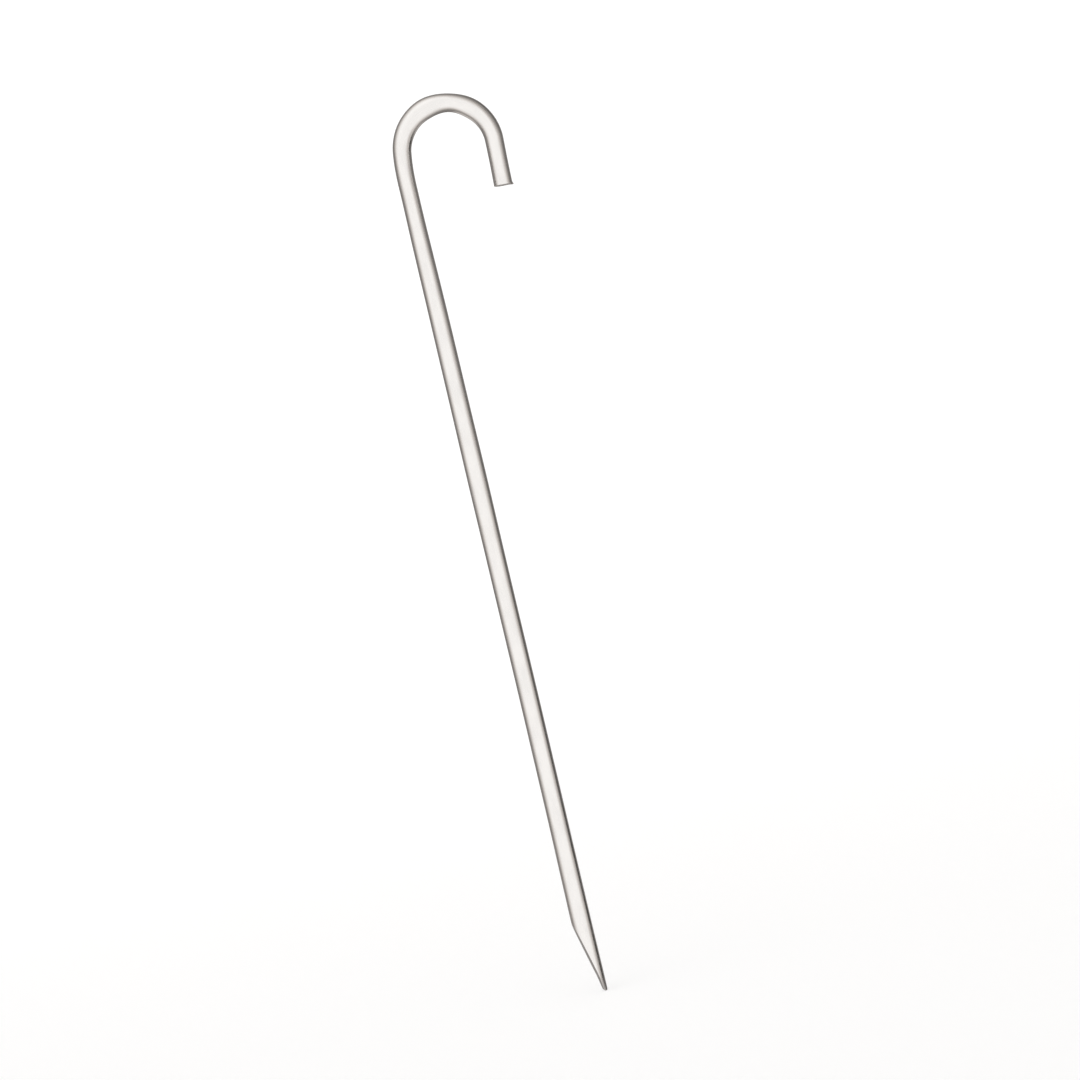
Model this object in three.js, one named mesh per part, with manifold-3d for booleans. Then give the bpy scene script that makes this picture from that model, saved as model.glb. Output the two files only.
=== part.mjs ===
// Hook-top tent stake: one length of round steel wire, bent over at the top into an open
// hook, and sheared at the bottom into a slanted, chisel-like point.
//
// Millimetres, +Z up. The origin is on the shaft's axis at ground level, where the ground
// is when the stake is driven in. The shaft runs down from it along -Z, and the hook
// stands above it in the XZ plane and opens towards +X.

import * as THREE from 'three';
import { mergeVertices } from 'three/addons/utils/BufferGeometryUtils.js';
import Module from 'manifold-3d';

const wasm = await Module();
wasm.setup();

// The wire
const wireDiameter = 4.88; // 6 gauge steel wire
const wireRadius = wireDiameter / 2;

// The stake as a whole
const overallLength = 228.6; // 9 inches, from the point to the top of the hook
const depthInGround = 200; // from ground level down to the point

// The hook: an easy start to the bend, a tight bend, and a short leg that leans in
const hookGap = 18.9; // clear between the shaft and the leg
const easeRadius = 75;
const easeTurn = THREE.MathUtils.degToRad(7);
const legLean = THREE.MathUtils.degToRad(2);
const legEndHeight = 2.4; // the leg's cut end above ground level

// The point: a slanted face that runs down to a round-nosed edge on the hook's side
const bevelAngle = THREE.MathUtils.degToRad(13.2); // between the face and the shaft's axis
const bevelTwist = THREE.MathUtils.degToRad(10); // how far the face is turned round the shaft
const noseRadius = 0.37;
const shoulderRadius = 5; // where the slanted face runs out into the round wire

// Fineness of the mesh
const wireSides = 32;
const easeSteps = 4;
const bendSteps = 36;
const arcSegments = 8;

// The cut's outline stands this far off the wire, so that no two surfaces only touch
const cutClearance = 0.02;
const cutMargin = 1;

// A wire's centre line in the XZ plane, as a chain of runs. Each run has a length, the
// angle it turns through, and the number of steps it is drawn in. The line starts out
// along +Z and turns towards +X.
class BentWire extends THREE.Curve {
  constructor(start, runs) {
    super();
    this.runs = [];
    this.steps = 0;
    let from = start;
    let heading = 0;
    for (const run of runs) {
      this.runs.push({ ...run, from, heading, firstStep: this.steps });
      from = this.along(this.runs.at(-1), 1);
      heading += run.turn;
      this.steps += run.steps;
    }
  }

  // The point at a fraction of one run: on a straight line, or on an arc
  along(run, fraction) {
    if (run.turn === 0) {
      const reach = run.length * fraction;
      const step = new THREE.Vector3(Math.sin(run.heading), 0, Math.cos(run.heading));
      return run.from.clone().addScaledVector(step, reach);
    }
    const radius = run.length / run.turn;
    const heading = run.heading + run.turn * fraction;
    return new THREE.Vector3(
      run.from.x + radius * (Math.cos(run.heading) - Math.cos(heading)),
      0,
      run.from.z + radius * (Math.sin(heading) - Math.sin(run.heading)),
    );
  }

  // The run that a position from 0 to 1 falls on, and the fraction along it
  locate(t) {
    const step = t * this.steps;
    const run = this.runs.findLast((candidate) => candidate.firstStep <= step);
    return { run, fraction: Math.min((step - run.firstStep) / run.steps, 1) };
  }

  getPoint(t, target = new THREE.Vector3()) {
    const { run, fraction } = this.locate(t);
    return target.copy(this.along(run, fraction));
  }

  getTangent(t, target = new THREE.Vector3()) {
    const { run, fraction } = this.locate(t);
    const heading = run.heading + run.turn * fraction;
    return target.set(Math.sin(heading), 0, Math.cos(heading));
  }

  // Positions along the line count steps, not length, so the bend gets most of them
  getUtoTmapping(u) {
    return u;
  }
}

// The stake's centre line, from the point up the shaft and over to the leg's end
function stakeCentreLine() {
  const hookTop = overallLength - depthInGround - wireRadius;
  const span = hookGap + wireDiameter;
  const easeShift = easeRadius * (1 - Math.cos(easeTurn));
  const bendRadius = (span - easeShift) / (1 + Math.cos(easeTurn));
  const bendCentreHeight = hookTop - bendRadius;
  const easeStart = bendCentreHeight - (easeRadius - bendRadius) * Math.sin(easeTurn);
  const legStart = bendCentreHeight - bendRadius * Math.sin(legLean);
  const bendTurn = Math.PI - easeTurn + legLean;

  return new BentWire(new THREE.Vector3(0, 0, -depthInGround), [
    { length: depthInGround + easeStart, turn: 0, steps: 1 },
    { length: easeRadius * easeTurn, turn: easeTurn, steps: easeSteps },
    { length: bendRadius * bendTurn, turn: bendTurn, steps: bendSteps },
    { length: (legStart - legEndHeight) / Math.cos(legLean), turn: 0, steps: 1 },
  ]);
}

// Round wire swept along a centre line, with flat ends square to it
function sweptWire(centreLine) {
  const section = new THREE.Shape().absarc(0, 0, wireRadius, 0, 2 * Math.PI);
  return new THREE.ExtrudeGeometry(section, {
    steps: centreLine.steps,
    curveSegments: wireSides / 2,
    extrudePath: centreLine,
  });
}

// What the shear takes away at the bottom. The outline follows the finished point:
// shoulder, slanted face and round nose. It is drawn in X and Z, is thicker than the wire
// in Y, and is then turned a little round the shaft.
function shearedAway() {
  const side = wireRadius + cutClearance;
  const outside = wireRadius + cutMargin;
  const noseX = side - noseRadius;
  const noseZ = noseRadius - depthInGround;

  // Where the slanted face, carried on, would meet the wire's far side
  const faceX = noseX - noseRadius * Math.cos(bevelAngle);
  const faceZ = noseZ - noseRadius * Math.sin(bevelAngle);
  const cornerZ = faceZ + (faceX + side) / Math.tan(bevelAngle);
  const shoulderZ = cornerZ + shoulderRadius * Math.tan(bevelAngle / 2);

  const outline = new THREE.Shape();
  outline.moveTo(-outside, shoulderZ);
  outline.lineTo(-side, shoulderZ);
  outline.absarc(
    shoulderRadius - side, shoulderZ, shoulderRadius, Math.PI, Math.PI + bevelAngle,
  );
  outline.absarc(noseX, noseZ, noseRadius, Math.PI + bevelAngle, 2 * Math.PI);
  outline.lineTo(outside, noseZ);
  outline.lineTo(outside, -depthInGround - cutMargin);
  outline.lineTo(-outside, -depthInGround - cutMargin);

  const geometry = new THREE.ExtrudeGeometry(outline, {
    depth: 2 * outside,
    bevelEnabled: false,
    curveSegments: arcSegments,
  });
  geometry.translate(0, 0, -outside);
  geometry.rotateX(Math.PI / 2); // the outline's second axis becomes Z
  geometry.rotateZ(bevelTwist);
  return geometry;
}

function toManifold(geometry) {
  const bare = geometry.clone();
  bare.deleteAttribute('normal');
  bare.deleteAttribute('uv');
  const merged = mergeVertices(bare);
  return new wasm.Manifold(new wasm.Mesh({
    numProp: 3,
    vertProperties: new Float32Array(merged.getAttribute('position').array),
    triVerts: new Uint32Array(merged.getIndex().array),
  }));
}

function toGeometry(solid) {
  const mesh = solid.getMesh();
  const geometry = new THREE.BufferGeometry();
  geometry.setAttribute('position', new THREE.BufferAttribute(mesh.vertProperties, 3));
  geometry.setIndex(new THREE.BufferAttribute(mesh.triVerts, 1));
  geometry.computeVertexNormals();
  return geometry;
}

// Bright zinc-plated steel
const platedSteel = new THREE.MeshStandardMaterial({
  color: 0xc9c6c2,
  roughness: 0.28,
  metalness: 1,
});

const bentWire = toManifold(sweptWire(stakeCentreLine()));
const stake = new THREE.Mesh(toGeometry(bentWire.subtract(toManifold(shearedAway()))), platedSteel);
stake.name = 'stake';

const group = new THREE.Group();
group.add(stake);

export default group;
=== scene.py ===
from math import pi, radians, sin, cos, tan

import bpy
import numpy as np
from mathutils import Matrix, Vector


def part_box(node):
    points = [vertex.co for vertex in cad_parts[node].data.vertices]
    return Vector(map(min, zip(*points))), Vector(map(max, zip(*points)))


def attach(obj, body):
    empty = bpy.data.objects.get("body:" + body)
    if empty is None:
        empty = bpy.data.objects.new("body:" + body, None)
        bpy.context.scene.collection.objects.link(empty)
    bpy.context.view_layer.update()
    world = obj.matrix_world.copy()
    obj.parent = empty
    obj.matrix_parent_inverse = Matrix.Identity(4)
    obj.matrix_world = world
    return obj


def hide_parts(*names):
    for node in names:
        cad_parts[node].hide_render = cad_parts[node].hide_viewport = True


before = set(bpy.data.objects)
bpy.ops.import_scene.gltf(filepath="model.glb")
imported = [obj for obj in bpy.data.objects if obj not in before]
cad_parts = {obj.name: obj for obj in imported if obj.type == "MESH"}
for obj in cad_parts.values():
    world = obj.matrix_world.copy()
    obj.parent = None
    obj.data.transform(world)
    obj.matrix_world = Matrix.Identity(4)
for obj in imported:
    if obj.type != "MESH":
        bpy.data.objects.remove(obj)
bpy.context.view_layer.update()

mm = 0.001

# sizes that come from the frame; the shaft's axis is at x = 0, y = 0
stakeLow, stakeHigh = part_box("stake")
wireRadius = (stakeHigh[1] - stakeLow[1]) / 2
tipHeight = stakeLow[2]
hookTop = stakeHigh[2]
legAxis = stakeHigh[0] - wireRadius        # the furthest that the wire's middle gets from the shaft
boxCentre = [(low + high) / 2 for low, high in zip(stakeLow, stakeHigh)]
print("frame loaded, wire", round(wireRadius * 2 / mm, 2), "mm thick")

wirePath = {
    "easeRadius": 75 * mm,         # the slow start of the bend
    "easeTurn": radians(7),
    "legLean": radians(2),         # how far past straight down the leg points
    "legEndHeight": 2.4 * mm,      # the leg's cut end above the ground line
}

pointShape = {
    "bevelAngle": radians(13.2),   # slanted face against the wire
    "bevelTwist": radians(10),     # the face is turned a little round the wire
    "faceInset": 0.66 * mm,        # where the slanted face would meet the very end, from the back
    "noseRadius": 0.52 * mm,       # the very end, seen across the hook
    "tipAngle": radians(8.5),      # the last few millimetres slant less
    "shoulderRadius": 5 * mm,      # where the slanted face runs out
    "edgeRound": 0.06 * mm,        # how far the plating softens the face's edges
    "pinch": 0.46,                 # how much the very tip is squeezed from both sides
    "pinchLength": 3.6 * mm,       # and how far up the squeeze reaches
    "tipHalfWidth": 1.05 * mm,     # half the tip's width, seen from the side
    "tipFlare": radians(20),       # how fast the pinched tip widens again, seen from the side
    "cornerRound": 0.8 * mm,       # the tip's two corners
    "backFall": radians(2),        # the nose's hook side falls away a little
    "hollow": 0.03 * mm,           # the shear leaves the face slightly dished
    "hollowReach": 3 * mm,         # the dish is at its full depth from here up
    "cutFade": 0.15 * mm,          # how deep under the wire's own surface the sheared look is full
    "length": 26 * mm,             # how far up the wire the point's own mesh reaches
}

legCut = {
    "reach": 0.8 * mm,             # how far up the leg the cut changes the wire
    "rings": 12,                   # mesh rings in that length
    "rollOver": 0.26 * mm,         # rounded on the side where the blade came in
    "sharpSide": 0.12 * mm,        # and less so on the other
    "burrOut": 0.3 * mm,           # the burr stands out to the side this far
    "burrDown": 0.26 * mm,         # and hangs down past the cut this far
    "burrFade": 0.3 * mm,          # its foot, up the leg
    "burrDraw": 0.25 * mm,         # how far up the leg it pulls the metal down
    "burrSpread": 0.6,             # radians round the wire
    "tear": 0.06 * mm,             # step where the cut goes over from clean to torn
    "tearPlace": 0.5 * mm,         # where that step is, from the wire's middle
    "tearSoft": 0.12 * mm,         # and how gradual
    "grain": 0.012 * mm,           # roughness of the torn half
    "skew": 0.16 * mm,             # the cut is a little out of square, longer on the -Y side
    "bare": 0.55,                  # how much of the cut's rough look shows through the plating
}

wireShape = {
    "sides": 144,                  # mesh points round the wire
    "shaftStep": 1.6 * mm,
    "easeStep": 0.8 * mm,
    "bendStep": 0.42 * mm,
    "pointStep": 0.14 * mm,
    "edgeCrowd": 0.12 * mm,        # how strongly mesh points gather at the point's edges
    # where the wire is wider or thinner in the hook's plane: place along it, reach, share
    "swells": [(19 * mm, 5 * mm, 0.02), (27 * mm, 10 * mm, 0.02), (132 * mm, 14 * mm, 0.026),
               (190 * mm, 16 * mm, -0.03), (206 * mm, 13 * mm, -0.07),
               (222.5 * mm, 3.5 * mm, 0.035), (229 * mm, 4 * mm, 0.095),
               (235.5 * mm, 3.6 * mm, -0.055), (241.5 * mm, 3.2 * mm, 0.045),
               (257 * mm, 9 * mm, -0.055)],
    # where its middle strays sideways: place, reach, shift towards the hook's inside
    "bows": [(19 * mm, 5 * mm, -0.04 * mm), (25 * mm, 16 * mm, -0.11 * mm),
             (78 * mm, 16 * mm, 0.04 * mm), (197 * mm, 14 * mm, -0.1 * mm),
             (213 * mm, 5 * mm, -0.1 * mm), (236 * mm, 9 * mm, 0.18 * mm),
             (243 * mm, 7 * mm, 0.065 * mm)],
}


def wireRuns():
    # length and turn of each run, from the point up the shaft and round to the leg's end
    ease = wirePath["easeTurn"]
    lean = wirePath["legLean"]
    easeRadius = wirePath["easeRadius"]
    bend = (legAxis - easeRadius * (1 - cos(ease))) / (1 + cos(ease))
    bendHeight = hookTop - wireRadius - bend
    easeStart = bendHeight - (easeRadius - bend) * sin(ease)
    legTop = bendHeight - bend * sin(lean)
    return [
        (easeStart - tipHeight, 0.0),
        (easeRadius * ease, ease),
        (bend * (pi - ease + lean), pi - ease + lean),
        ((legTop - wirePath["legEndHeight"]) / cos(lean), 0.0),
    ]


def wireAt(runs, s):
    # middle of the wire and its heading from +Z towards +X, at a distance s along it
    x, z, heading = 0.0, tipHeight, 0.0
    for i, (length, turn) in enumerate(runs):
        last = i == len(runs) - 1
        part = s if last else min(s, length)
        if turn == 0:
            x += part * sin(heading)
            z += part * cos(heading)
        else:
            radius = length / turn
            after = heading + turn * part / length
            x += radius * (cos(heading) - cos(after))
            z += radius * (sin(after) - sin(heading))
            heading = after
        s -= part
        if s <= 0:
            break
    return x, z, heading


def humps(s, places):
    # smooth bumps added up along the wire
    return sum(much * np.exp(-((s - place) / reach) ** 2) for place, reach, much in places)


def softMax(a, b, k):
    # the larger of two distances, rounded where they meet
    h = np.clip(k - np.abs(a - b), 0, None) / k
    return np.maximum(a, b) + h * h * k / 4


def pointSolid(x, y, z):
    # signed distance to the sheared point, negative inside; x, y across, z up from the tip
    p = pointShape
    slant = p["bevelAngle"]
    nose = p["noseRadius"]
    pinched = 1 - p["pinch"] * np.clip(1 - z / p["pinchLength"], 0, 1)
    ring = np.hypot(x, y / pinched) - wireRadius
    # slanted face, dished a little along its middle
    startX = wireRadius - p["faceInset"]
    dish = p["hollow"] * np.clip(1 - (y / wireRadius) ** 2, 0, 1)
    dish = dish * np.clip(z / p["hollowReach"], 0, 1)
    face = -(x - startX) * cos(slant) - z * sin(slant) + dish
    # shoulder, where the face turns into the wire's side
    big = p["shoulderRadius"]
    shoulderX = big - wireRadius
    shoulderZ = (startX + wireRadius) / tan(slant) + big * tan(slant / 2)
    dx, dz = x - shoulderX, z - shoulderZ
    shoulder = np.where(dz >= 0, -dx - big, np.hypot(dx, dz) - big)
    face = np.where(dz > dx * tan(slant), shoulder, face)
    # the last few millimetres, flatter
    tip = p["tipAngle"]
    noseX = wireRadius - nose
    tipFace = -(x - noseX) * cos(tip) - (z - nose) * sin(tip) - nose
    face = np.minimum(face, tipFace)
    # round nose between the slanted face and the wire's back
    away = p["backFall"]
    back = (x - noseX) * cos(away) - (z - nose) * sin(away) - nose
    belowFace = (x - noseX) * sin(tip) - (z - nose) * cos(tip) > 0
    belowBack = (x - noseX) * -sin(away) - (z - nose) * cos(away) > 0
    roundNose = np.hypot(x - noseX, z - nose) - nose
    wedge = np.where(belowFace & belowBack, roundNose, np.maximum(face, back))
    # seen along the hook's plane the tip's corners are round
    flare = p["tipFlare"]
    side = (np.abs(y) - p["tipHalfWidth"]) * cos(flare) - z * sin(flare)
    corner = softMax(side, -z, p["cornerRound"])
    return softMax(softMax(ring, wedge, p["edgeRound"]), corner, p["edgeRound"])


def evenRing(points, count, bendWeight):
    # the same closed outline with its points spread evenly, closer together in tight curves
    nextPoints = np.roll(points, -1, axis=0)
    step = nextPoints - points
    length = np.linalg.norm(step, axis=1)
    unit = step / np.maximum(length, 1e-12)[:, None]
    turn = np.arccos(np.clip((unit * np.roll(unit, 1, axis=0)).sum(1), -1, 1))
    weight = length + bendWeight * (turn + np.roll(turn, -1)) / 2
    along = np.concatenate([[0], np.cumsum(weight)])
    closed = np.vstack([points, points[:1]])
    wanted = np.linspace(0, along[-1], count, endpoint=False)
    return np.stack([np.interp(wanted, along, closed[:, i]) for i in range(3)], axis=1)


def pointRings():
    # rings of the sheared point, from the nose up, each found by rays from inside the wire
    p = pointShape
    nose = p["noseRadius"]
    dense = 960                    # rays in a ring, before its points are spread
    halvings = 36                  # steps that close in on the surface
    twist = p["bevelTwist"]
    a = np.arange(dense) * 2 * pi / dense - twist
    # the nose's own rings look down, less steeply each time; the rest look straight out
    drops = np.radians([82, 76, 70, 63, 56, 49, 42, 35, 28, 21, 14, 7])
    looks = [(nose, drop) for drop in drops]
    looks += [(up, 0.0) for up in np.arange(nose, p["length"], wireShape["pointStep"])]
    rings = []
    for up, drop in looks:
        left = max(-wireRadius, wireRadius - 2 * nose - max(up - nose, 0) * tan(p["bevelAngle"]))
        middle = (left + wireRadius) / 2
        thick = (wireRadius - left) / 2
        wide = np.sqrt(max(wireRadius ** 2 - middle ** 2, 0))
        spread = max(0.0, wide - thick) * 0.8
        start = np.stack([np.full(dense, middle), spread * np.sin(a), np.full(dense, up)], axis=1)
        ray = np.stack([cos(drop) * np.cos(a), cos(drop) * np.sin(a), np.full(dense, -sin(drop))], axis=1)
        near, far = np.zeros(dense), np.full(dense, 2.6 * wireRadius)
        for _ in range(halvings):
            half = (near + far) / 2
            at = start + ray * half[:, None]
            outside = pointSolid(at[:, 0], at[:, 1], at[:, 2]) > 0
            far = np.where(outside, half, far)
            near = np.where(outside, near, half)
        ring = evenRing(start + ray * near[:, None], wireShape["sides"], wireShape["edgeCrowd"])
        x, y = ring[:, 0].copy(), ring[:, 1].copy()
        ring[:, 0] = x * cos(twist) - y * sin(twist)
        ring[:, 1] = x * sin(twist) + y * cos(twist)
        rings.append(ring)
    return rings


def wireFaces(rings, sides):
    # quads from ring to ring, and a fan over the leg's end; the nose is closed across its thin way
    faces = []
    half = sides // 2
    quarter = sides // 4
    for j in range(-quarter, quarter):
        corners = (j, half - j, half - j - 1, j + 1)
        faces.append(tuple(dict.fromkeys(i % sides for i in corners)))
    for r in range(rings - 1):
        for j in range(sides):
            k = (j + 1) % sides
            faces.append((r * sides + j, r * sides + k, (r + 1) * sides + k, (r + 1) * sides + j))
    top = (rings - 1) * sides
    centre = rings * sides
    faces += [(top + j, top + (j + 1) % sides, centre) for j in range(sides)]
    return faces


def buildStake():
    runs = wireRuns()
    total = sum(length for length, turn in runs)
    sides = wireShape["sides"]
    a = np.arange(sides) * 2 * pi / sides
    verts = []
    coords = []      # the same points on the wire before it was bent
    cut = []         # how much each one is part of a sheared face

    def addRing(s, across, sideways, lift=0.0, cutShare=0.0):
        # across is towards the hook's inside, sideways along +Y, lift along the wire
        s = np.broadcast_to(s, across.shape)
        wider = 1 + humps(s, wireShape["swells"])
        across = across * wider + humps(s, wireShape["bows"])
        sideways = sideways * (1.5 - wider / 2)
        lift = np.broadcast_to(lift, across.shape)
        cutShare = np.broadcast_to(cutShare, across.shape)
        for si, u, v, w, c in zip(s, across, sideways, lift, cutShare):
            x, z, heading = wireAt(runs, si)
            verts.append((x + u * cos(heading) + w * sin(heading), v,
                          z - u * sin(heading) + w * cos(heading)))
            coords.append((si + w, u, v))
            cut.append(c)

    # the point
    for ring in pointRings():
        pinched = 1 - pointShape["pinch"] * np.clip(1 - ring[:, 2] / pointShape["pinchLength"], 0, 1)
        gap = wireRadius - np.hypot(ring[:, 0], ring[:, 1] / pinched)
        addRing(ring[:, 2], ring[:, 0], ring[:, 1], cutShare=np.clip(gap / pointShape["cutFade"], 0, 1))
    # shaft, ease, bend and leg
    cutLength = legCut["reach"]
    stations = []
    start = pointShape["length"]
    steps = [wireShape[name] for name in ("shaftStep", "easeStep", "bendStep", "easeStep")]
    for (length, turn), step in zip(runs, steps):
        end = start + length - (0 if stations else pointShape["length"])
        count = max(2, round((end - start) / step))
        stations += list(np.linspace(start, end, count, endpoint=False))
        start = end
    for s in stations:
        if s < total - cutLength:
            addRing(s, wireRadius * np.cos(a), wireRadius * np.sin(a))
    # the leg's sheared end
    c = legCut
    outer = np.exp(-((a - pi) / c["burrSpread"]) ** 2)
    rounding = c["sharpSide"] + (c["rollOver"] - c["sharpSide"]) * (0.5 + 0.5 * np.cos(a)) ** 2
    for back in np.linspace(cutLength, 0, c["rings"], endpoint=False):
        straight = np.clip((rounding - back) / rounding, 0, 1)
        radius = wireRadius - rounding * (1 - np.sqrt(1 - straight ** 2 * 0.999))
        radius = radius + c["burrOut"] * outer * np.exp(-((back / c["burrFade"]) ** 2))
        lift = c["burrDown"] * outer * np.exp(-back / c["burrDraw"])
        lift = lift - c["skew"] * np.sin(a) * (1 - back / cutLength)
        addRing(total - back, radius * np.cos(a), radius * np.sin(a), lift)
    rim = wireRadius - rounding
    for share in [1, 0.97, 0.9, 0.8, 0.68, 0.55, 0.42, 0.29, 0.16, 0.05]:
        u, v = rim * share * np.cos(a), rim * share * np.sin(a)
        torn = 1 / (1 + np.exp(np.clip((u - c["tearPlace"]) / c["tearSoft"], -40, 40)))
        grain = c["grain"] * np.sin(u / mm * 9 + np.sin(v / mm * 5)) * np.sin(v / mm * 7 + 1.3)
        lift = c["burrDown"] * outer * share ** 6 - (c["tear"] - grain) * torn * (1 - share ** 8)
        addRing(total, u, v, lift - c["skew"] * v / wireRadius, c["bare"])

    rings = len(verts) // sides
    x, z, heading = wireAt(runs, total)
    verts.append((x - c["tear"] * sin(heading), 0, z - c["tear"] * cos(heading)))
    coords.append((total, 0, 0))
    cut.append(c["bare"])
    faces = wireFaces(rings, sides)

    mesh = bpy.data.meshes.new("stakeWire")
    mesh.from_pydata(verts, [], faces)
    mesh.update()
    mesh.shade_smooth()
    along = mesh.attributes.new("alongWire", "FLOAT_VECTOR", "POINT")
    along.data.foreach_set("vector", np.array(coords, dtype=np.float32).ravel())
    sheared = mesh.attributes.new("sheared", "FLOAT", "POINT")
    sheared.data.foreach_set("value", np.array(cut, dtype=np.float32))
    stake = bpy.data.objects.new("bentWire", mesh)
    bpy.context.scene.collection.objects.link(stake)
    print("stake built,", len(verts), "points,", len(faces), "faces")
    return stake


platingLook = {
    "colour": (0.76, 0.739, 0.718, 1),
    "dullColour": (0.66, 0.645, 0.63, 1),     # in the mottle, specks and scuffs
    "cutColour": (0.47, 0.46, 0.45, 1),       # where the shear cut
    "roughness": 0.26,
    "roughnessSpread": 0.07,
    "cutRoughness": 0.36,
    "lineHeight": 0.0016 * mm,     # drawing lines along the wire
    "waveHeight": 0.004 * mm,      # the plating's slow unevenness
    "shearHeight": 0.012 * mm,     # lines the blade left on the cut faces
    "scratchHeight": 0.006 * mm,
    "mottle": 0.35,                # how strong each kind of dullness is
    "specks": 0.6,
    "scuffs": 0.5,
    "cutShow": 0.8,
    "soilWear": 45 * mm,           # how far up the shaft it is scuffed by the ground
    "scuffRough": 0.08,
    "speckRough": 0.1,
}

# each pattern: how fast it changes per metre along the wire, across it and sideways,
# then its detail, its roughness and where in the noise it starts
platingPattern = {
    "lines": ((40, 5200, 5200), 3.0, 0.6, 0.0),            # drawing lines, a few centimetres long
    "fineLines": ((110, 14000, 14000), 1.0, 0.5, 3.1),
    "mottle": ((160, 420, 420), 4.0, 0.55, 7.7),           # patches that took the plating differently
    "waves": ((260, 700, 700), 1.0, 0.5, 1.9),
    "scuffs": ((420, 7600, 7600), 2.0, 0.5, 5.3),          # short scuffs along the wire
    "slips": ((2400, 900, 900), 2.0, 0.5, 9.1),            # and marks across it
    "specks": ((2600, 2600, 2600), 1.0, 0.5, 12.4),        # tiny dull specks
    "bladeLines": ((60, 500, 6500), 3.0, 0.6, 15.0),       # follow the slanted face, cross the leg's end
}


def platedSteel():
    look = platingLook
    material = bpy.data.materials.new("platedSteel")
    material.use_nodes = True
    nodes, links = material.node_tree.nodes, material.node_tree.links
    shader = nodes["Principled BSDF"]
    shader.inputs["Metallic"].default_value = 1

    def feed(socket, value):
        if isinstance(value, bpy.types.NodeSocket):
            links.new(value, socket)
        else:
            socket.default_value = value

    def calc(operation, first, second=0.0):
        node = nodes.new("ShaderNodeMath")
        node.operation = operation
        feed(node.inputs[0], first)
        feed(node.inputs[1], second)
        return node.outputs[0]

    def ramp(value, low, high, outLow=0.0, outHigh=1.0):
        node = nodes.new("ShaderNodeMapRange")
        node.interpolation_type = "SMOOTHSTEP"
        feed(node.inputs["Value"], value)
        node.inputs["From Min"].default_value = low
        node.inputs["From Max"].default_value = high
        node.inputs["To Min"].default_value = outLow
        node.inputs["To Max"].default_value = outHigh
        return node.outputs["Result"]

    def blend(share, first, second):
        node = nodes.new("ShaderNodeMix")
        node.data_type = "RGBA"
        feed(node.inputs[0], share)
        feed(node.inputs[6], first)
        feed(node.inputs[7], second)
        return node.outputs[2]

    def pattern(name):
        perMetre, detail, roughness, shift = platingPattern[name]
        place = nodes.new("ShaderNodeVectorMath")
        place.operation = "MULTIPLY_ADD"
        links.new(wire.outputs["Vector"], place.inputs[0])
        place.inputs[1].default_value = perMetre
        place.inputs[2].default_value = (shift, shift * 0.7, shift * 1.3)
        node = nodes.new("ShaderNodeTexNoise")
        node.inputs["Scale"].default_value = 1
        node.inputs["Detail"].default_value = detail
        node.inputs["Roughness"].default_value = roughness
        links.new(place.outputs[0], node.inputs["Vector"])
        return node.outputs[0]

    wire = nodes.new("ShaderNodeAttribute")
    wire.attribute_name = "alongWire"
    cut = nodes.new("ShaderNodeAttribute")
    cut.attribute_name = "sheared"
    split = nodes.new("ShaderNodeSeparateXYZ")
    links.new(wire.outputs["Vector"], split.inputs[0])
    cutShare = cut.outputs["Fac"]

    lines = pattern("lines")
    fineLines = pattern("fineLines")
    mottle = ramp(pattern("mottle"), 0.35, 0.7)
    waves = pattern("waves")
    # scuffs are thickest where the ground rubs
    nearGround = ramp(split.outputs[0], look["soilWear"], 0.3 * look["soilWear"])
    scuffs = ramp(pattern("scuffs"), 0.63, 0.72)
    scuffs = calc("MULTIPLY", scuffs, calc("ADD", calc("MULTIPLY", nearGround, 0.75), 0.25))
    slips = ramp(pattern("slips"), 0.7, 0.76)
    specks = ramp(pattern("specks"), 0.72, 0.8)
    bladeLines = pattern("bladeLines")

    dull = calc("MULTIPLY", mottle, look["mottle"])
    dull = calc("MAXIMUM", dull, calc("MULTIPLY", specks, look["specks"]))
    dull = calc("MAXIMUM", dull, calc("MULTIPLY", scuffs, look["scuffs"]))
    colour = blend(dull, look["colour"], look["dullColour"])
    colour = blend(calc("MULTIPLY", cutShare, look["cutShow"]), colour, look["cutColour"])
    links.new(colour, shader.inputs["Base Color"])

    spread = calc("ADD", calc("MULTIPLY", lines, 0.6), calc("MULTIPLY", mottle, 0.4))
    spread = calc("SUBTRACT", spread, 0.5)
    rough = calc("ADD", calc("MULTIPLY", spread, look["roughnessSpread"] * 2), look["roughness"])
    scrapes = calc("MAXIMUM", scuffs, slips)
    rough = calc("ADD", rough, calc("MULTIPLY", scrapes, look["scuffRough"]))
    rough = calc("ADD", rough, calc("MULTIPLY", specks, look["speckRough"]))
    cutRough = calc("MULTIPLY", cutShare, look["cutRoughness"] - look["roughness"])
    links.new(calc("ADD", rough, cutRough), shader.inputs["Roughness"])

    clean = calc("SUBTRACT", 1.0, cutShare)
    height = calc("MULTIPLY", calc("ADD", lines, calc("MULTIPLY", fineLines, 0.4)), look["lineHeight"])
    height = calc("ADD", height, calc("MULTIPLY", waves, look["waveHeight"]))
    grooves = calc("MULTIPLY", scrapes, look["scratchHeight"])
    height = calc("MULTIPLY", calc("SUBTRACT", height, grooves), clean)
    blade = calc("MULTIPLY", calc("MULTIPLY", bladeLines, cutShare), look["shearHeight"])
    bump = nodes.new("ShaderNodeBump")
    bump.inputs["Strength"].default_value = 1
    bump.inputs["Distance"].default_value = 1
    links.new(calc("ADD", height, blade), bump.inputs["Height"])
    links.new(bump.outputs["Normal"], shader.inputs["Normal"])
    print("steel material built,", len(nodes), "nodes")
    return material


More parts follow.
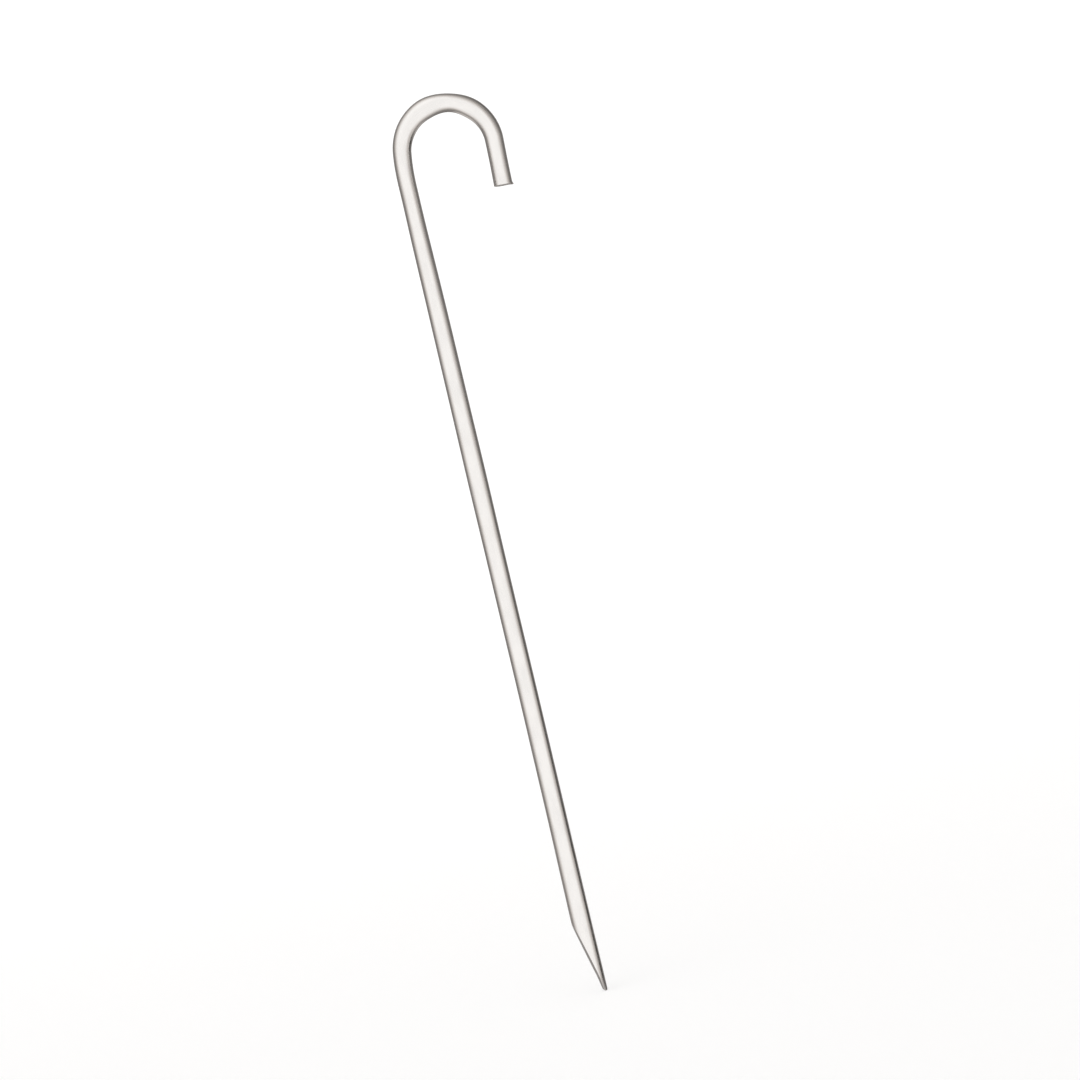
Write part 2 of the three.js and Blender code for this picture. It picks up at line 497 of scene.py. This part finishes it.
studio = {
    "room": 1.5,                   # metres from the stake to the wall
    "wallHeight": 1.3,
    "cornerRound": 0.5,            # radius between the floor and the wall
    "backdropShade": 0.45,
    "backdropGlow": 0.59,          # its own light, which keeps it evenly pale
}


def buildStage():
    # a round pale floor that curves up into a wall all the way round
    room = studio["room"]
    corner = studio["cornerRound"]
    profile = [(0.0, 0.0)] + [(r, 0.0) for r in np.linspace(0.05, room - corner, 12)]
    for turn in np.linspace(0, pi / 2, 17)[1:]:
        profile.append((room - corner * (1 - sin(turn)), corner * (1 - cos(turn))))
    profile.append((room, studio["wallHeight"]))
    around = 96
    verts = [(boxCentre[0], 0, tipHeight)]
    for r, h in profile[1:]:
        for i in range(around):
            turn = 2 * pi * i / around
            verts.append((boxCentre[0] + r * cos(turn), r * sin(turn), tipHeight + h))
    faces = [(0, 1 + i, 1 + (i + 1) % around) for i in range(around)]
    for r in range(len(profile) - 2):
        base = 1 + r * around
        for i in range(around):
            k = (i + 1) % around
            faces.append((base + i, base + around + i, base + around + k, base + k))
    mesh = bpy.data.meshes.new("studioFloor")
    mesh.from_pydata(verts, [], faces)
    mesh.shade_smooth()
    stage = bpy.data.objects.new("studioFloor", mesh)
    bpy.context.scene.collection.objects.link(stage)
    stage.visible_glossy = False
    stage.visible_shadow = False
    material = bpy.data.materials.new("paleFloor")
    material.use_nodes = True
    shader = material.node_tree.nodes["Principled BSDF"]
    shade = studio["backdropShade"]
    shader.inputs["Base Color"].default_value = (shade, shade, shade, 1)
    shader.inputs["Roughness"].default_value = 0.9
    shader.inputs["Emission Color"].default_value = (1, 1, 1, 1)
    shader.inputs["Emission Strength"].default_value = studio["backdropGlow"]
    mesh.materials.append(material)
    print("floor and wall built")


# light by direction: where it comes from, how far round it is full, over how much it fades
# (both in degrees), how strong
studioLight = {
    "room": 0.229,
    "key": ((0.005, -1, 0.018), 51.9, 68.8, 0.985),       # the big soft front light
    "darkPanel": ((2.5, -0.15, 1.8), 0, 54, 0.58),        # takes light away, high on the right
    "darkEdge": ((1.04, 0.36, -0.27), 3, 19, 1.0),        # and a narrow one, lower down
    "lowEdge": ((0.95, -0.3, -0.36), 4, 17, 0.3),         # a weak one, nearer the floor
    "topFill": ((-1.1, -0.35, 2.2), 0, 55, 0.1),
    "backLight": ((0.1, 1, 0.08), 4, 14, 0.4),
    "backLeft": ((-0.6, 0.75, -0.46), 5, 18, 0.45),       # two low ones behind, for the far side
    "backRight": ((0.55, 0.75, -0.52), 5, 17, 0.3),
    "warmTint": (1.055, 1.0, 0.96, 1),
    "warmBelow": 0.6,              # light weaker than this has the whole tint
    "whiteAbove": 1.3,             # and stronger than this has none
}


def buildLight():
    world = bpy.data.worlds.new("softStudio")
    bpy.context.scene.world = world
    world.use_nodes = True
    nodes, links = world.node_tree.nodes, world.node_tree.links
    background = nodes["Background"]
    coords = nodes.new("ShaderNodeTexCoord")

    def patch(name):
        direction, full, fade, strength = studioLight[name]
        dot = nodes.new("ShaderNodeVectorMath")
        dot.operation = "DOT_PRODUCT"
        dot.inputs[1].default_value = Vector(direction).normalized()
        links.new(coords.outputs["Generated"], dot.inputs[0])
        edge = nodes.new("ShaderNodeMapRange")
        edge.interpolation_type = "SMOOTHSTEP"
        edge.inputs["From Min"].default_value = cos(radians(full + fade))
        edge.inputs["From Max"].default_value = cos(radians(full))
        edge.inputs["To Max"].default_value = strength
        links.new(dot.outputs["Value"], edge.inputs["Value"])
        return edge.outputs["Result"]

    def join(operation, first, second):
        node = nodes.new("ShaderNodeMath")
        node.operation = operation
        for socket, value in zip(node.inputs, (first, second)):
            if isinstance(value, (int, float)):
                socket.default_value = value
            else:
                links.new(value, socket)
        return node.outputs[0]

    light = join("ADD", patch("key"), studioLight["room"])
    for name in ("darkPanel", "darkEdge", "lowEdge"):
        light = join("MULTIPLY", light, join("SUBTRACT", 1.0, patch(name)))
    for name in ("topFill", "backLight", "backLeft", "backRight"):
        light = join("ADD", light, patch(name))
    links.new(light, background.inputs["Strength"])
    # the dimmer the light from a direction, the warmer it is
    warmth = nodes.new("ShaderNodeMapRange")
    warmth.interpolation_type = "SMOOTHSTEP"
    warmth.inputs["From Min"].default_value = studioLight["warmBelow"]
    warmth.inputs["From Max"].default_value = studioLight["whiteAbove"]
    warmth.inputs["To Min"].default_value = 1
    warmth.inputs["To Max"].default_value = 0
    links.new(light, warmth.inputs["Value"])
    tint = nodes.new("ShaderNodeMix")
    tint.data_type = "RGBA"
    tint.inputs[6].default_value = (1, 1, 1, 1)
    tint.inputs[7].default_value = studioLight["warmTint"]
    links.new(warmth.outputs["Result"], tint.inputs[0])
    links.new(tint.outputs[2], background.inputs["Color"])
    print("studio light built")


cameraSetup = {
    "lens": 85,
    "distance": 0.6394,
    "left": 0.08 * mm,             # from the middle of the stake's box
    "drop": 0.6 * mm,
    "roll": radians(13.3),         # the stake leans in the picture
    "nearest": 0.01,
}


def buildCamera():
    look = cameraSetup
    data = bpy.data.cameras.new("camera")
    data.lens = look["lens"]
    data.sensor_width = 36
    data.clip_start = look["nearest"]
    camera = bpy.data.objects.new("camera", data)
    camera.location = (boxCentre[0] - look["left"], -look["distance"], boxCentre[2] - look["drop"])
    camera.rotation_euler = (pi / 2, look["roll"], 0)
    bpy.context.scene.collection.objects.link(camera)
    bpy.context.scene.camera = camera
    print("camera placed")


bpy.context.scene.view_settings.view_transform = "Standard"
buildCamera()
buildStage()
buildLight()
stake = buildStake()
stake.data.materials.append(platedSteel())
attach(stake, "root")
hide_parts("stake")
